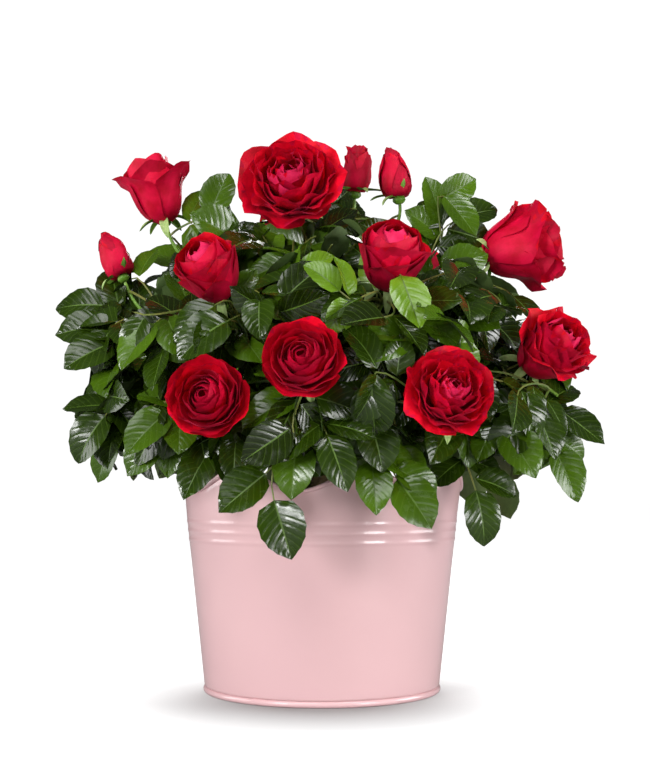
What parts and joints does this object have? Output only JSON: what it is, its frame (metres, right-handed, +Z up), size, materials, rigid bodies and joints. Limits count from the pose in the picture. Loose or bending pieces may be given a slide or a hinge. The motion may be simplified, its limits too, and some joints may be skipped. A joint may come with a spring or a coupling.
{
  "type": "potted rose bush",
  "caption": "Small bushy rose in a round tapered metal pot with a scalloped rim, with red blooms and buds over dense leaves, for a table or a sill.",
  "frame": {"origin": "centre of the pot's flat underside", "axes": "+Z up, -Y out of the front of the bush, +X to the right seen from the front"},
  "size_m": [0.3105, 0.2757, 0.3223],
  "materials": {
    "pot_enamel": "gloss",
    "compost": "matte",
    "bark": "matte",
    "cane": "satin",
    "foliage": "satin",
    "flowering_foliage": "satin"
  },
  "bodies": {
    "root": {"pot": "pot_enamel", "compost": "compost", "stem": "bark", "cane_front_low": "cane", "cane_front_left_low": "cane", "cane_front_right_low": "cane", "cane_left_low": "cane", "cane_right_low": "cane", "cane_right": "cane", "cane_left": "cane", "cane_front_left": "cane", "cane_front_right": "cane", "cane_right_top": "cane", "cane_left_top": "cane", "cane_top_right": "cane", "cane_top": "cane", "cane_top_buds": "cane", "cane_back_low": "cane", "cane_back_right_low": "cane", "cane_back_left_low": "cane", "cane_back_right": "cane", "cane_back_left": "cane", "cane_back_top": "cane", "mass_front_low": "flowering_foliage", "mass_front_left_low": "flowering_foliage", "mass_front_right_low": "flowering_foliage", "mass_left_low": "foliage", "mass_right_low": "foliage", "mass_right": "flowering_foliage", "mass_left": "flowering_foliage", "mass_front_left": "flowering_foliage", "mass_front_right": "flowering_foliage", "mass_right_top": "flowering_foliage", "mass_left_top": "flowering_foliage", "mass_top_right": "foliage", "mass_top": "flowering_foliage", "mass_top_buds": "flowering_foliage", "mass_back_low": "flowering_foliage", "mass_back_right_low": "flowering_foliage", "mass_back_left_low": "flowering_foliage", "mass_back_right": "flowering_foliage", "mass_back_left": "flowering_foliage", "mass_back_top": "flowering_foliage"}
  },
  "joints": []
}
